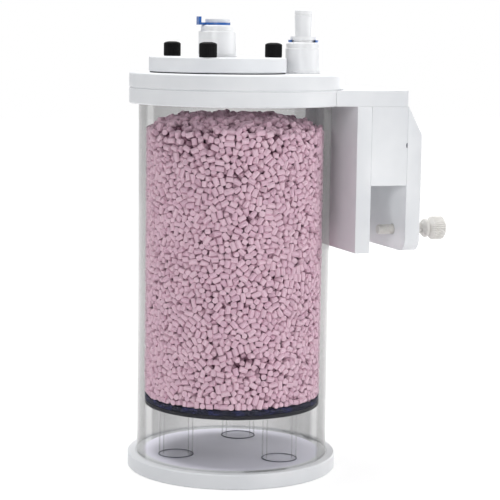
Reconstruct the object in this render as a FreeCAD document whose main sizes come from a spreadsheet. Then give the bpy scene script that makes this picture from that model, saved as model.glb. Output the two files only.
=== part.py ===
import FreeCAD, Part
import math
import os

import Sketcher

# A hang-on media canister for an aquarium. Water enters through the inlet fitting, runs down a
# pipe to the space under a perforated plate, rises through the pellets and leaves through the
# outlet fitting in the lid. The origin is the centre of the base's underside, on the axis of the
# clear tube. +Z is up and +X points to the bracket that hooks over the tank wall.

doc = FreeCAD.newDocument("CanisterFilter")
sheet = doc.addObject("Spreadsheet::Sheet", "Sizes")

# Driving dimensions in millimetres, angles in degrees, counts as plain numbers
SIZES = [
    # clear tube between the base and the flange ring
    ("tube_diameter", 110.0),
    ("tube_wall", 4.0),
    ("tube_length", 209.6),
    # sheet plastic discs
    ("base_margin", 5.2),
    ("base_thickness", 8.5),
    ("ring_margin", 5.4),
    ("ring_thickness", 8.9),
    ("plate_thickness", 8.4),
    ("lid_step", 10.6),
    ("lid_gap", 12.7),
    ("lid_thickness", 8.4),
    ("disc_chamfer", 0.6),
    ("glue_gap", 0.1),
    ("fill_inset", 10.9),
    ("gasket_thickness", 0.6),
    ("gasket_margin", 0.6),
    # thumb screws of the lid
    ("screw_inset", 4.9),
    ("stem_diameter", 5.0),
    ("stem_clearance", 0.3),
    ("stem_bite", 8.0),
    ("stem_socket", 5.5),
    ("thread_clearance", 0.15),
    ("thumb_diameter", 9.8),
    ("thumb_height", 8.4),
    ("thumb_crown", 1.2),
    # push-fit fittings for 3/8 inch tubing
    ("tubing_diameter", 9.53),
    ("port_clearance", 0.1),
    ("inlet_inset", 10.3),
    ("stub_diameter", 13.2),
    ("stub_depth", 6.0),
    ("flow_bore", 7.0),
    ("stop_height", 5.2),
    ("fitting_height", 17.8),
    ("collar_height", 14.2),
    ("outlet_collar", 22.2),
    ("inlet_collar", 20.2),
    ("cap_diameter", 19.6),
    ("cap_crown", 1.2),
    ("chamber_diameter", 13.8),
    ("seal_section", 1.9),
    ("collet_diameter", 13.2),
    ("collet_depth", 9.5),
    ("collet_flange", 14.8),
    ("collet_flange_thickness", 1.9),
    ("finger_slot", 1.0),
    ("finger_length", 7.0),
    # locking clips under the collet flanges
    ("clip_thickness", 1.3),
    ("clip_slack", 0.05),
    ("clip_diameter", 17.4),
    ("clip_clearance", 0.15),
    ("clip_opening", 4.6),
    ("tab_reach", 12.2),
    ("tab_thickness", 1.5),
    ("tab_width", 4.5),
    ("tab_height", 4.6),
    # blanking plug in the inlet fitting
    ("plug_height", 36.2),
    ("plug_top_diameter", 10.4),
    ("plug_rim", 3.0),
    ("plug_rim_step", 0.25),
    ("plug_nose", 0.8),
    ("plug_tip_gap", 0.4),
    # inlet pipe
    ("pipe_diameter", 8.0),
    ("pipe_wall", 1.2),
    ("pipe_clearance", 0.1),
    ("pipe_end_gap", 6.0),
    # supports under the media
    ("post_diameter", 20.0),
    ("post_wall", 2.5),
    ("post_inset", 16.6),
    ("post_height", 28.5),
    ("support_thickness", 2.0),
    ("support_clearance", 0.5),
    ("hole_diameter", 8.0),
    ("sponge_thickness", 3.2),
    ("media_clearance", 0.4),
    ("headspace", 22.6),
    ("media_crown", 8.3),
    ("pipe_passage", 8.8),
    # hook bracket
    ("bracket_width", 80.0),
    ("bracket_inset", 1.9),
    ("inner_leg_thickness", 9.0),
    ("hook_gap", 21.9),
    ("outer_leg_thickness", 9.0),
    ("leg_seat", 0.2),
    ("hook_depth", 38.1),
    ("block_height", 44.7),
    ("outer_land", 0.5),
    ("outer_slope", 15.9),
    ("foot_round", 8.0),
    # clamp screws in the outer leg
    ("clamp_spacing", 44.0),
    ("clamp_height", 11.4),
    ("rod_diameter", 5.9),
    ("rod_clearance", 0.1),
    ("rod_reach", 9.2),
    ("rod_tip", 0.8),
    ("knob_standoff", 9.3),
    ("cone_length", 1.9),
    ("cone_tip_diameter", 6.4),
    ("shoulder_diameter", 10.8),
    ("shoulder_length", 1.4),
    ("neck_diameter", 8.0),
    ("neck_length", 1.0),
    ("knob_diameter", 13.5),
    ("knob_length", 10.5),
    ("knob_taper", 2.4),
    ("knob_crown", 2.0),
    ("rod_socket", 11.0),
]

# Rows of holes in the support plate: share of the plate's radius, holes in the row, angle of the
# first hole
HOLE_ROWS = [(0.3, 5, 36.0), (0.62, 10, 18.0)]


class Size:
    """A length that is both a number and the expression that keeps it tied to the sheet"""

    def __init__(self, text, value):
        self.text = text
        self.value = value

    def __add__(self, other):
        other = as_size(other)
        return Size(f"({self.text} + {other.text})", self.value + other.value)

    def __sub__(self, other):
        other = as_size(other)
        return Size(f"({self.text} - {other.text})", self.value - other.value)

    def __mul__(self, other):
        other = as_size(other)
        return Size(f"({self.text} * {other.text})", self.value * other.value)

    def __truediv__(self, other):
        other = as_size(other)
        return Size(f"({self.text} / {other.text})", self.value / other.value)

    def __radd__(self, other):
        return as_size(other) + self

    def __rsub__(self, other):
        return as_size(other) - self

    def __rmul__(self, other):
        return as_size(other) * self

    def __neg__(self):
        return Size(f"(-1 * {self.text})", -self.value)


def as_size(number):
    """A plain number as a Size, and a Size as it is"""
    return number if isinstance(number, Size) else Size(repr(float(number)), float(number))


def cosine(degrees):
    return Size(f"cos({degrees})", math.cos(math.radians(degrees)))


def sine(degrees):
    return Size(f"sin({degrees})", math.sin(math.radians(degrees)))


def fill_sheet():
    """Write the driving dimensions into the sheet and return them by name"""
    named = {}
    for row, (alias, value) in enumerate(SIZES, start=1):
        sheet.set(f"A{row}", alias)
        sheet.set(f"B{row}", str(value))
        sheet.setAlias(f"B{row}", alias)
        named[alias] = Size(f"Sizes.{alias}", float(value))
    doc.recompute()
    return named


size = fill_sheet()

# Levels and places that several pieces share
tube_radius = size["tube_diameter"] / 2
tube_bore = tube_radius - size["tube_wall"]
base_radius = tube_radius + size["base_margin"]
ring_radius = tube_radius + size["ring_margin"]
base_top = size["base_thickness"]
ring_top = base_top + size["tube_length"]
ring_bottom = ring_top - size["ring_thickness"]
plate_top = ring_top + size["plate_thickness"]
lid_bottom = plate_top + size["gasket_thickness"]
lid_top = lid_bottom + size["lid_thickness"]
support_bottom = base_top + size["post_height"]
sponge_bottom = support_bottom + size["support_thickness"]
media_bottom = sponge_bottom + size["sponge_thickness"]
inlet_offset = tube_bore - size["inlet_inset"]
lid_left = ring_radius - size["lid_step"]
lid_right = inlet_offset - size["lid_gap"]
lid_radius = (lid_left + lid_right) / 2
lid_centre = (lid_right - lid_left) / 2
fill_radius = lid_radius - size["fill_inset"]
stem_radius = size["stem_diameter"] / 2
port_radius = size["tubing_diameter"] / 2 + size["port_clearance"]
stub_radius = size["stub_diameter"] / 2
pipe_radius = size["pipe_diameter"] / 2
half_width = size["bracket_width"] / 2
inner_leg_inside = ring_radius - size["bracket_inset"]
inner_leg_outside = inner_leg_inside + size["inner_leg_thickness"]
outer_leg_inside = inner_leg_outside + size["hook_gap"]
outer_leg_outside = outer_leg_inside + size["outer_leg_thickness"]
hook_top = ring_bottom - size["block_height"]
leg_bottom = hook_top - size["hook_depth"]
clamp_level = leg_bottom + size["clamp_height"]


def new_body(name):
    body = doc.addObject("PartDesign::Body", name)
    body.Label = name
    return body


def origin_plane(body, role):
    return next(plane for plane in body.Origin.OriginFeatures if plane.Role == role)


def new_sketch(body, role, height=None):
    """An empty sketch on one of the body's own planes, lifted by height along its normal"""
    sketch = body.newObject("Sketcher::SketchObject", f"{body.Name}_sketch")
    sketch.AttachmentSupport = [(origin_plane(body, role), "")]
    sketch.MapMode = "FlatFace"
    if height is not None:
        sketch.setExpression("AttachmentOffset.Base.z", as_size(height).text)
    return sketch


def fix_distance(sketch, kind, geometry, vertex, distance):
    """Hold one coordinate of a sketch point at a distance from the sketch's origin"""
    distance = as_size(distance)
    index = sketch.addConstraint(Sketcher.Constraint(kind, -1, 1, geometry, vertex, distance.value))
    sketch.setExpression(f"Constraints[{index}]", distance.text)


def outline(body, role, points, height=None):
    """A closed outline of straight lines through the points"""
    sketch = new_sketch(body, role, height)
    points = [(as_size(across), as_size(along)) for across, along in points]
    corners = [FreeCAD.Vector(across.value, along.value, 0) for across, along in points]
    for start, end in zip(corners, corners[1:] + corners[:1]):
        sketch.addGeometry(Part.LineSegment(start, end), False)
    for line in range(len(points)):
        following = (line + 1) % len(points)
        sketch.addConstraint(Sketcher.Constraint("Coincident", line, 2, following, 1))
    for line, (across, along) in enumerate(points):
        fix_distance(sketch, "DistanceX", line, 1, across)
        fix_distance(sketch, "DistanceY", line, 1, along)
    return sketch


def circles(body, role, rounds, height=None):
    """A sketch of circles, each given as (across, along, radius)"""
    sketch = new_sketch(body, role, height)
    for number, (across, along, radius) in enumerate(rounds):
        across, along, radius = as_size(across), as_size(along), as_size(radius)
        centre = FreeCAD.Vector(across.value, along.value, 0)
        sketch.addGeometry(Part.Circle(centre, FreeCAD.Vector(0, 0, 1), radius.value), False)
        fix_distance(sketch, "DistanceX", number, 3, across)
        fix_distance(sketch, "DistanceY", number, 3, along)
        index = sketch.addConstraint(Sketcher.Constraint("Radius", number, radius.value))
        sketch.setExpression(f"Constraints[{index}]", radius.text)
    return sketch


def pad(body, sketch, length, both_ways=False):
    feature = body.newObject("PartDesign::Pad", f"{body.Name}_pad")
    feature.Profile = sketch
    if both_ways:
        feature.SideType = "Symmetric"
    feature.setExpression("Length", as_size(length).text)
    body.Tip = feature
    return feature


def cut(body, sketch, length, upward=False, both_ways=False):
    """Cut the sketch out of the body and make sure that something came away"""
    doc.recompute()
    before = body.Shape.Volume
    feature = body.newObject("PartDesign::Pocket", f"{body.Name}_cut")
    feature.Profile = sketch
    if both_ways:
        feature.SideType = "Symmetric"
    feature.Reversed = upward
    feature.setExpression("Length", as_size(length).text)
    body.Tip = feature
    doc.recompute()
    if not body.Shape.Volume < before:
        raise RuntimeError(f"{body.Label}: a cut removed nothing")
    return feature


def revolve(body, sketch):
    feature = body.newObject("PartDesign::Revolution", f"{body.Name}_turned")
    feature.Profile = sketch
    feature.ReferenceAxis = (sketch, ["V_Axis"])
    feature.Angle = 360
    body.Tip = feature
    return feature


def repeat_round(body, feature, count):
    """Copies of a feature spaced evenly round the body's Z axis"""
    pattern = body.newObject("PartDesign::PolarPattern", f"{body.Name}_pattern")
    pattern.Originals = [feature]
    pattern.Axis = (next(a for a in body.Origin.OriginFeatures if a.Role == "Z_Axis"), [""])
    pattern.Angle = 360
    pattern.setExpression("Occurrences", as_size(count).text)
    body.Tip = pattern
    return pattern


def treat_edges(body, kind, size_property, amount, wanted):
    """Add a fillet or a chamfer on the edges for which wanted(edge) is true"""
    doc.recompute()
    chosen = [f"Edge{n}" for n, edge in enumerate(body.Shape.Edges, start=1) if wanted(edge)]
    if not chosen:
        raise RuntimeError(f"{body.Label}: no edge to treat")
    before = body.Tip
    feature = body.newObject(f"PartDesign::{kind}", f"{body.Name}_{kind.lower()}")
    feature.Base = (before, chosen)
    feature.setExpression(size_property, as_size(amount).text)
    body.Tip = feature
    return feature


def round_edges(body, radius, wanted):
    return treat_edges(body, "Fillet", "Radius", radius, wanted)


def bevel_edges(body, width, wanted):
    return treat_edges(body, "Chamfer", "Size", width, wanted)


def is_rim(radius):
    """A test for full circles of this radius about the body's own Z axis"""
    radius = as_size(radius).value

    def test(edge):
        curve = edge.Curve
        if not isinstance(curve, Part.Circle):
            return False
        return abs(curve.Radius - radius) < 0.01 and math.hypot(curve.Center.x, curve.Center.y) < 0.01
    return test


def place(body, x=0, y=0, z=0):
    for axis, distance in (("x", x), ("y", y), ("z", z)):
        body.setExpression(f"Placement.Base.{axis}", as_size(distance).text)
    return body


def disc(name, radius, thickness):
    """A round plate of sheet plastic with bevelled rims"""
    body = new_body(name)
    pad(body, circles(body, "XY_Plane", [(0, 0, radius)]), thickness)
    bevel_edges(body, size["disc_chamfer"], is_rim(radius))
    return body


def sleeve(name, outer_radius, inner_radius, length):
    """A plain round tube"""
    body = new_body(name)
    pad(body, circles(body, "XY_Plane", [(0, 0, outer_radius), (0, 0, inner_radius)]), length)
    return body


# Vessel

def make_vessel():
    disc("base_plate", base_radius, size["base_thickness"])
    place(sleeve("body_tube", tube_radius, tube_bore, size["tube_length"]), z=base_top)
    ring = disc("flange_ring", ring_radius, size["ring_thickness"])
    bore = circles(ring, "XY_Plane", [(0, 0, tube_radius + size["glue_gap"])])
    cut(ring, bore, size["ring_thickness"], upward=True)
    place(ring, z=ring_bottom)


def screw_places(radius):
    """Circles of one radius at the three thumb screws, about the lid's centre"""
    reach = lid_radius - size["screw_inset"]
    return [(reach * cosine(angle), reach * sine(angle), radius) for angle in SCREW_ANGLES]


SCREW_ANGLES = (2.3, 122.3, 242.3)


def make_top_plate():
    """The upper disc: fill opening, tapped holes round it and the stepped hole of the inlet"""
    plate = disc("top_plate", ring_radius, size["plate_thickness"])
    depth = size["plate_thickness"]
    opening = circles(plate, "XY_Plane", [(lid_centre, 0, fill_radius)])
    cut(plate, opening, depth, upward=True)
    threads = [(x + lid_centre, y, r)
               for x, y, r in screw_places(stem_radius + size["thread_clearance"])]
    cut(plate, circles(plate, "XY_Plane", threads), depth, upward=True)
    pipe_hole = [(inlet_offset, 0, pipe_radius + size["pipe_clearance"])]
    cut(plate, circles(plate, "XY_Plane", pipe_hole), depth, upward=True)
    stub_hole = [(inlet_offset, 0, stub_radius + size["glue_gap"])]
    cut(plate, circles(plate, "XY_Plane", stub_hole, depth), size["stub_depth"])
    place(plate, z=ring_top)


def make_lid():
    """The offset lid with its screw holes and the stepped hole of the outlet, and its gasket"""
    lid = disc("lid", lid_radius, size["lid_thickness"])
    depth = size["lid_thickness"]
    clear_holes = screw_places(stem_radius + size["stem_clearance"])
    cut(lid, circles(lid, "XY_Plane", clear_holes), depth, upward=True)
    cut(lid, circles(lid, "XY_Plane", [(0, 0, size["flow_bore"] / 2)]), depth, upward=True)
    stub_hole = [(0, 0, stub_radius + size["glue_gap"])]
    cut(lid, circles(lid, "XY_Plane", stub_hole, depth), size["stub_depth"])
    place(lid, x=lid_centre, z=lid_bottom)

    outside = lid_radius - size["gasket_margin"]
    gasket = sleeve("lid_gasket", outside, fill_radius, size["gasket_thickness"])
    cut(gasket, circles(gasket, "XY_Plane", clear_holes), size["gasket_thickness"], upward=True)
    place(gasket, x=lid_centre, z=plate_top)


# Thumb screws of the lid

def crown(radius, top, drop):
    """Points that round off the top rim of a turned grip in two flats"""
    return [(radius, top - drop), (radius - drop * 0.3, top - drop * 0.3), (radius - drop, top)]


def make_thumb_screw(number, angle):
    """A steel stem that threads into the top plate and the moulded head that turns on it"""
    reach = lid_radius - size["screw_inset"]
    x = lid_centre + reach * cosine(angle)
    y = reach * sine(angle)
    tip = plate_top - size["stem_bite"]

    stem = new_body(f"thumb_screw_stem_{number}")
    pad(stem, circles(stem, "XY_Plane", [(0, 0, stem_radius)]), lid_top + size["stem_socket"] - tip)
    place(stem, x, y, tip)

    head = new_body(f"thumb_screw_head_{number}")
    radius = size["thumb_diameter"] / 2
    bore = stem_radius + size["rod_clearance"]
    top = size["thumb_height"]
    socket_end = size["stem_socket"] + size["clip_slack"]
    profile = [(bore, 0), (radius, 0), *crown(radius, top, size["thumb_crown"]),
               (0, top), (0, socket_end), (bore, socket_end)]
    revolve(head, outline(head, "XZ_Plane", profile))
    place(head, x, y, lid_top)


# Push-fit fittings

def make_fitting(name, collar, x, seat):
    """One fitting: threaded stub and housing, seal ring and the slotted collet that grips a tube"""
    top = size["fitting_height"]
    housing = new_body(f"{name}_fitting_body")
    cap = size["cap_diameter"] / 2
    chamber = size["chamber_diameter"] / 2
    profile = [
        (size["flow_bore"] / 2, -size["stub_depth"]),
        (stub_radius, -size["stub_depth"]),
        (stub_radius, 0),
        (collar / 2, 0),
        (collar / 2, size["collar_height"]),
        (cap, size["collar_height"]),
        *crown(cap, top, size["cap_crown"]),
        (chamber, top),
        (chamber, size["stop_height"]),
        (port_radius, size["stop_height"]),
        (port_radius, 0),
        (size["flow_bore"] / 2, 0),
    ]
    revolve(housing, outline(housing, "XZ_Plane", profile))
    place(housing, x, 0, seat)

    seal = new_body(f"{name}_seal_ring")
    section = size["seal_section"]
    flat = section * 0.25
    inside, bottom = port_radius, size["stop_height"]
    profile = [
        (inside + section / 2, bottom),
        (inside + section, bottom + flat),
        (inside + section, bottom + section - flat),
        (inside + section / 2, bottom + section),
        (inside, bottom + section - flat),
        (inside, bottom + flat),
    ]
    revolve(seal, outline(seal, "XZ_Plane", profile))
    place(seal, x, 0, seat)

    collet = new_body(f"{name}_collet")
    outside = size["collet_diameter"] / 2
    flange = size["collet_flange"] / 2
    flange_bottom = top + size["clip_thickness"] + size["clip_slack"] * 2
    flange_top = flange_bottom + size["collet_flange_thickness"]
    foot = top - size["collet_depth"]
    profile = [
        (port_radius, foot),
        (outside, foot),
        (outside, flange_bottom),
        (flange, flange_bottom),
        (flange, flange_top),
        (port_radius, flange_top),
    ]
    revolve(collet, outline(collet, "XZ_Plane", profile))
    half_slot = size["finger_slot"] / 2
    slot_top = foot + size["finger_length"]
    for role in ("XZ_Plane", "YZ_Plane"):
        slot = [(-half_slot, foot - 1), (half_slot, foot - 1), (half_slot, slot_top), (-half_slot, slot_top)]
        cut(collet, outline(collet, role, slot), size["collet_flange"] * 2, both_ways=True)
    place(collet, x, 0, seat)


def make_clip(name, x, seat, turn):
    """A flat C that slides in under a collet's flange, with an upright tab at its closed end"""
    clip = new_body(f"{name}_clip")
    bottom = size["fitting_height"] + size["clip_slack"]
    inside = size["collet_diameter"] / 2 + size["clip_clearance"]
    outside = size["clip_diameter"] / 2
    web = size["tab_reach"]
    half_tab = size["tab_width"] / 2
    thickness = size["clip_thickness"]
    pad(clip, circles(clip, "XY_Plane", [(0, 0, outside)]), thickness)
    tab_start = web - size["tab_thickness"]
    web_outline = [(-web, -half_tab), (-inside, -half_tab), (-inside, half_tab), (-web, half_tab)]
    pad(clip, outline(clip, "XY_Plane", web_outline), thickness)
    tab_outline = [(-web, -half_tab), (-tab_start, -half_tab), (-tab_start, half_tab), (-web, half_tab)]
    pad(clip, outline(clip, "XY_Plane", tab_outline), size["tab_height"])
    cut(clip, circles(clip, "XY_Plane", [(0, 0, inside)]), thickness, upward=True)
    mouth = [(0, -inside), (outside + 1, -inside), (outside + 1, inside), (0, inside)]
    cut(clip, outline(clip, "XY_Plane", mouth), thickness, upward=True)
    tips = [(size["clip_opening"], -outside - 1), (outside + 1, -outside - 1),
            (outside + 1, outside + 1), (size["clip_opening"], outside + 1)]
    cut(clip, outline(clip, "XY_Plane", tips), thickness, upward=True)
    clip.Placement = FreeCAD.Placement(FreeCAD.Vector(), FreeCAD.Rotation(FreeCAD.Vector(0, 0, 1), turn))
    place(clip, x, 0, seat + bottom)


def make_plug():
    """The blanking plug that closes the inlet until its tube is fitted"""
    plug = new_body("blanking_plug")
    radius = size["tubing_diameter"] / 2
    top_radius = size["plug_top_diameter"] / 2
    collet_top = (size["fitting_height"] + size["clip_thickness"] + size["clip_slack"] * 2
                  + size["collet_flange_thickness"])
    top = size["plug_height"]
    rim = top - size["plug_rim"]
    step = size["plug_rim_step"]
    profile = [
        (0, size["plug_tip_gap"]),
        (radius - size["plug_nose"], size["plug_tip_gap"]),
        (radius, size["plug_tip_gap"] + size["plug_nose"]),
        (radius, collet_top),
        (top_radius - step, rim - step),
        (top_radius - step, rim),
        (top_radius, rim),
        (top_radius, top),
        (0, top),
    ]
    revolve(plug, outline(plug, "XZ_Plane", profile))
    place(plug, inlet_offset, 0, plate_top)


# Inner pieces

def make_downpipe():
    """The pipe that takes the inlet water to the space under the support plate"""
    start = base_top + size["pipe_end_gap"]
    end = plate_top - size["stub_depth"]
    pipe = sleeve("downpipe", pipe_radius, pipe_radius - size["pipe_wall"], end - start)
    place(pipe, inlet_offset, 0, start)


def make_support_post(number, angle):
    radius = size["post_diameter"] / 2
    post = sleeve(f"support_post_{number}", radius, radius - size["post_wall"], size["post_height"])
    circle = tube_bore - size["post_inset"]
    place(post, circle * cosine(angle), circle * sine(angle), base_top)


def make_support_plate():
    """The perforated plate that carries the sponge and the pellets"""
    plate = new_body("support_plate")
    radius = tube_bore - size["support_clearance"]
    thickness = size["support_thickness"]
    pad(plate, circles(plate, "XY_Plane", [(0, 0, radius)]), thickness)
    passage = [(inlet_offset, 0, size["pipe_passage"] / 2)]
    cut(plate, circles(plate, "XY_Plane", passage), thickness, upward=True)
    for share, count, first in HOLE_ROWS:
        row = radius * share
        hole = [(row * cosine(first), row * sine(first), size["hole_diameter"] / 2)]
        feature = cut(plate, circles(plate, "XY_Plane", hole), thickness, upward=True)
        repeat_round(plate, feature, count)
    place(plate, z=support_bottom)


def make_sponge():
    pad_body = new_body("sponge_pad")
    radius = tube_bore - size["media_clearance"]
    rounds = [(0, 0, radius), (inlet_offset, 0, size["pipe_passage"] / 2)]
    pad(pad_body, circles(pad_body, "XY_Plane", rounds), size["sponge_thickness"])
    place(pad_body, z=sponge_bottom)


def make_media():
    """The bed of pellets as one solid, heaped in the middle with a rounded shoulder"""
    media = new_body("media_bed")
    radius = tube_bore - size["media_clearance"]
    edge = ring_top - size["headspace"] - media_bottom
    rise = size["media_crown"]
    summit = edge + rise
    shoulder = [(radius, edge), (radius * 0.85, edge + rise * 0.5), (radius * 0.5, edge + rise * 0.94)]
    profile = [(0, 0), (radius, 0), *shoulder, (0, summit)]
    revolve(media, outline(media, "XZ_Plane", profile))
    passage = [(inlet_offset, 0, size["pipe_passage"] / 2)]
    cut(media, circles(media, "XY_Plane", passage), summit, upward=True)
    place(media, z=media_bottom)


# Hook bracket

def upright(name, profile):
    """A straight piece of the bracket with this outline from the front, as wide as the bracket"""
    body = new_body(name)
    pad(body, outline(body, "XZ_Plane", profile), size["bracket_width"], both_ways=True)
    return body


def make_bracket():
    """Arm, two legs and the block between them, which together hook over the tank wall"""
    arm = new_body("bracket_arm")
    root = ring_radius / 2
    corners = [(root, -half_width), (outer_leg_inside, -half_width),
               (outer_leg_inside, half_width), (root, half_width)]
    pad(arm, outline(arm, "XY_Plane", corners), size["ring_thickness"])
    seat = circles(arm, "XY_Plane", [(0, 0, ring_radius + size["glue_gap"])])
    cut(arm, seat, size["ring_thickness"], upward=True)
    place(arm, z=ring_bottom)

    # The block is let into the inner leg by a shallow seat whose lower edge slopes at 45 degrees
    seat_face = inner_leg_outside - size["leg_seat"]
    seat_start = hook_top + size["leg_seat"]
    upright("bracket_inner_leg", [
        (inner_leg_inside, leg_bottom),
        (inner_leg_outside, leg_bottom),
        (inner_leg_outside, hook_top),
        (seat_face, seat_start),
        (seat_face, ring_bottom),
        (inner_leg_inside, ring_bottom),
    ])
    upright("bracket_block", [
        (inner_leg_outside, hook_top),
        (outer_leg_inside, hook_top),
        (outer_leg_inside, ring_bottom),
        (seat_face, ring_bottom),
        (seat_face, seat_start),
    ])

    outer = upright("bracket_outer_leg", [
        (outer_leg_inside, leg_bottom),
        (outer_leg_outside, leg_bottom),
        (outer_leg_outside, ring_bottom - size["outer_slope"]),
        (outer_leg_inside + size["outer_land"], ring_bottom),
        (outer_leg_inside, ring_bottom),
    ])
    bottom, side = leg_bottom.value, half_width.value

    def is_foot_corner(edge):
        middle = edge.BoundBox.Center
        return abs(middle.z - bottom) < 0.01 and abs(abs(middle.y) - side) < 0.01
    round_edges(outer, size["foot_round"], is_foot_corner)
    threads = [(sign * size["clamp_spacing"] / 2, clamp_level, size["rod_diameter"] / 2 + size["thread_clearance"])
               for sign in (-1, 1)]
    cut(outer, circles(outer, "YZ_Plane", threads, outer_leg_outside), size["outer_leg_thickness"])


def make_clamp_screw(number, side):
    """A nylon clamp screw along X: threaded rod and the knurled knob that turns it"""
    y = side * size["clamp_spacing"] / 2
    tip = outer_leg_inside - size["rod_reach"]
    knob_start = outer_leg_outside + size["knob_standoff"]
    radius = size["rod_diameter"] / 2
    along_x = FreeCAD.Rotation(FreeCAD.Vector(0, 1, 0), 90)

    rod = new_body(f"clamp_rod_{number}")
    length = knob_start + size["rod_socket"] - tip
    profile = [(0, 0), (radius - size["rod_tip"], 0), (radius, size["rod_tip"]), (radius, length), (0, length)]
    revolve(rod, outline(rod, "XZ_Plane", profile))
    rod.Placement = FreeCAD.Placement(FreeCAD.Vector(), along_x)
    place(rod, tip, y, clamp_level)

    knob = new_body(f"clamp_knob_{number}")
    bore = radius + size["rod_clearance"]
    shoulder = size["shoulder_diameter"] / 2
    neck = size["neck_diameter"] / 2
    grip = size["knob_diameter"] / 2
    cone_end = size["cone_length"]
    shoulder_end = cone_end + size["shoulder_length"]
    grip_start = shoulder_end + size["neck_length"]
    grip_end = grip_start + size["knob_length"]
    socket_end = size["rod_socket"] + size["rod_clearance"]
    profile = [
        (bore, 0),
        (size["cone_tip_diameter"] / 2, 0),
        (shoulder, cone_end),
        (shoulder, shoulder_end),
        (neck, shoulder_end),
        (neck, grip_start),
        (grip, grip_start + size["knob_taper"]),
        *crown(grip, grip_end, size["knob_crown"]),
        (0, grip_end),
        (0, socket_end),
        (bore, socket_end),
    ]
    revolve(knob, outline(knob, "XZ_Plane", profile))
    knob.Placement = FreeCAD.Placement(FreeCAD.Vector(), along_x)
    place(knob, knob_start, y, clamp_level)


def check_objects():
    """Stop if any object failed, or any piece isn't one sound solid"""
    for item in doc.Objects:
        if "Invalid" in item.State or "Error" in item.State:
            raise RuntimeError(f"{item.Label}: {item.State}")
    for piece in pieces():
        if piece.Shape.isNull() or not piece.Shape.isValid() or len(piece.Shape.Solids) != 1:
            raise RuntimeError(f"{piece.Label}: its shape isn't one sound solid")


def pieces():
    return [item for item in doc.Objects if item.TypeId == "PartDesign::Body"]


make_vessel()
make_top_plate()
make_lid()
for screw, turn in enumerate(SCREW_ANGLES, start=1):
    make_thumb_screw(screw, turn)
make_fitting("outlet", size["outlet_collar"], lid_centre, lid_top)
make_fitting("inlet", size["inlet_collar"], inlet_offset, plate_top)
make_clip("outlet", lid_centre, lid_top, 0)
make_clip("inlet", inlet_offset, plate_top, -110)
make_plug()
make_downpipe()
for post, turn in enumerate((64, 184, 304), start=1):
    make_support_post(post, turn)
make_support_plate()
make_sponge()
make_media()
make_bracket()
make_clamp_screw(1, -1)
make_clamp_screw(2, 1)

doc.recompute()
check_objects()
os.makedirs("parts", exist_ok=True)
for piece in pieces():
    piece.Shape.exportStep(f"parts/{piece.Label}.step")
    box = piece.Shape.BoundBox
    print(f"{piece.Label}: {piece.Shape.Volume / 1000:.2f} cm3, "
          f"x {box.XMin:.2f} {box.XMax:.2f}, y {box.YMin:.2f} {box.YMax:.2f}, z {box.ZMin:.2f} {box.ZMax:.2f}")
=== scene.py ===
import math

import bmesh
import bpy
import numpy as np
from mathutils import Matrix, Vector


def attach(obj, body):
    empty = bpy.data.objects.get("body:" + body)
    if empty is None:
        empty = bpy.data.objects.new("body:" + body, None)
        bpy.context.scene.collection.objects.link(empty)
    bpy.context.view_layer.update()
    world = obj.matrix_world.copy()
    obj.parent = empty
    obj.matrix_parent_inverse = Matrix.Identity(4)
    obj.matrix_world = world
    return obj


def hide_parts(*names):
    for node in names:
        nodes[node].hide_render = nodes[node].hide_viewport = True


# A hang-on canister filter: clear tube full of pink pellets, white sheet-plastic ends, a lid held by thumb
# screws, two push-fit ports and a hook bracket with clamp screws. +Z is up and +X points to the bracket.
# Sizes of pieces are in millimetres until they are multiplied by mm; lamps and materials are in metres.

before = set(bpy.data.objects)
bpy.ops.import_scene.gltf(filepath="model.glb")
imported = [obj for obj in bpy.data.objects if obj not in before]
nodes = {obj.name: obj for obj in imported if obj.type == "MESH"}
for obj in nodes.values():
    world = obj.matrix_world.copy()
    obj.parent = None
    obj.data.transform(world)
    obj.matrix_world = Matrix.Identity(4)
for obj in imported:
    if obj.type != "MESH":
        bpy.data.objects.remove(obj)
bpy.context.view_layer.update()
mm = 0.001

plan = {  # places that several pieces share
    "baseTop": 8.5,
    "padTop": 42.2,
    "ringBottom": 209.2,
    "plateTop": 226.5,
    "lidTop": 235.5,
    "lidCentre": -10.9,
    "inletCentre": 40.7,
}


def say(stage):
    print("stage:", stage)


# Camera, light and floor

cameraView = {
    "place": (-313.2, -899.3, 245.9),  # millimetres from the base's centre
    "turn": 19.769,  # degrees that it looks to the right of +Y
    "dip": 7.21,  # degrees that it looks down
    "roll": -0.825,
    "lens": 120.18,
    "sensor": 36.0,
}


def makeCamera():
    # columns of the matrix are the picture's right, its up and the way back from the object
    turn = math.radians(cameraView["turn"])
    dip = math.radians(cameraView["dip"])
    roll = math.radians(cameraView["roll"])
    ahead = Vector((math.sin(turn) * math.cos(dip), math.cos(turn) * math.cos(dip), -math.sin(dip)))
    right = Vector((math.cos(turn), -math.sin(turn), 0.0))
    down = ahead.cross(right)
    pictureRight = right * math.cos(roll) + down * math.sin(roll)
    pictureUp = -(down * math.cos(roll) - right * math.sin(roll))
    data = bpy.data.cameras.new("photoCamera")
    data.sensor_width = cameraView["sensor"]
    data.lens = cameraView["lens"]
    data.clip_start = 0.05
    data.clip_end = 20
    camera = bpy.data.objects.new("photoCamera", data)
    bpy.context.scene.collection.objects.link(camera)
    place = Vector(cameraView["place"]) * mm
    rows = [[pictureRight[k], pictureUp[k], -ahead[k], place[k]] for k in range(3)]
    camera.matrix_world = Matrix(rows + [[0, 0, 0, 1]])
    bpy.context.scene.camera = camera


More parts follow.
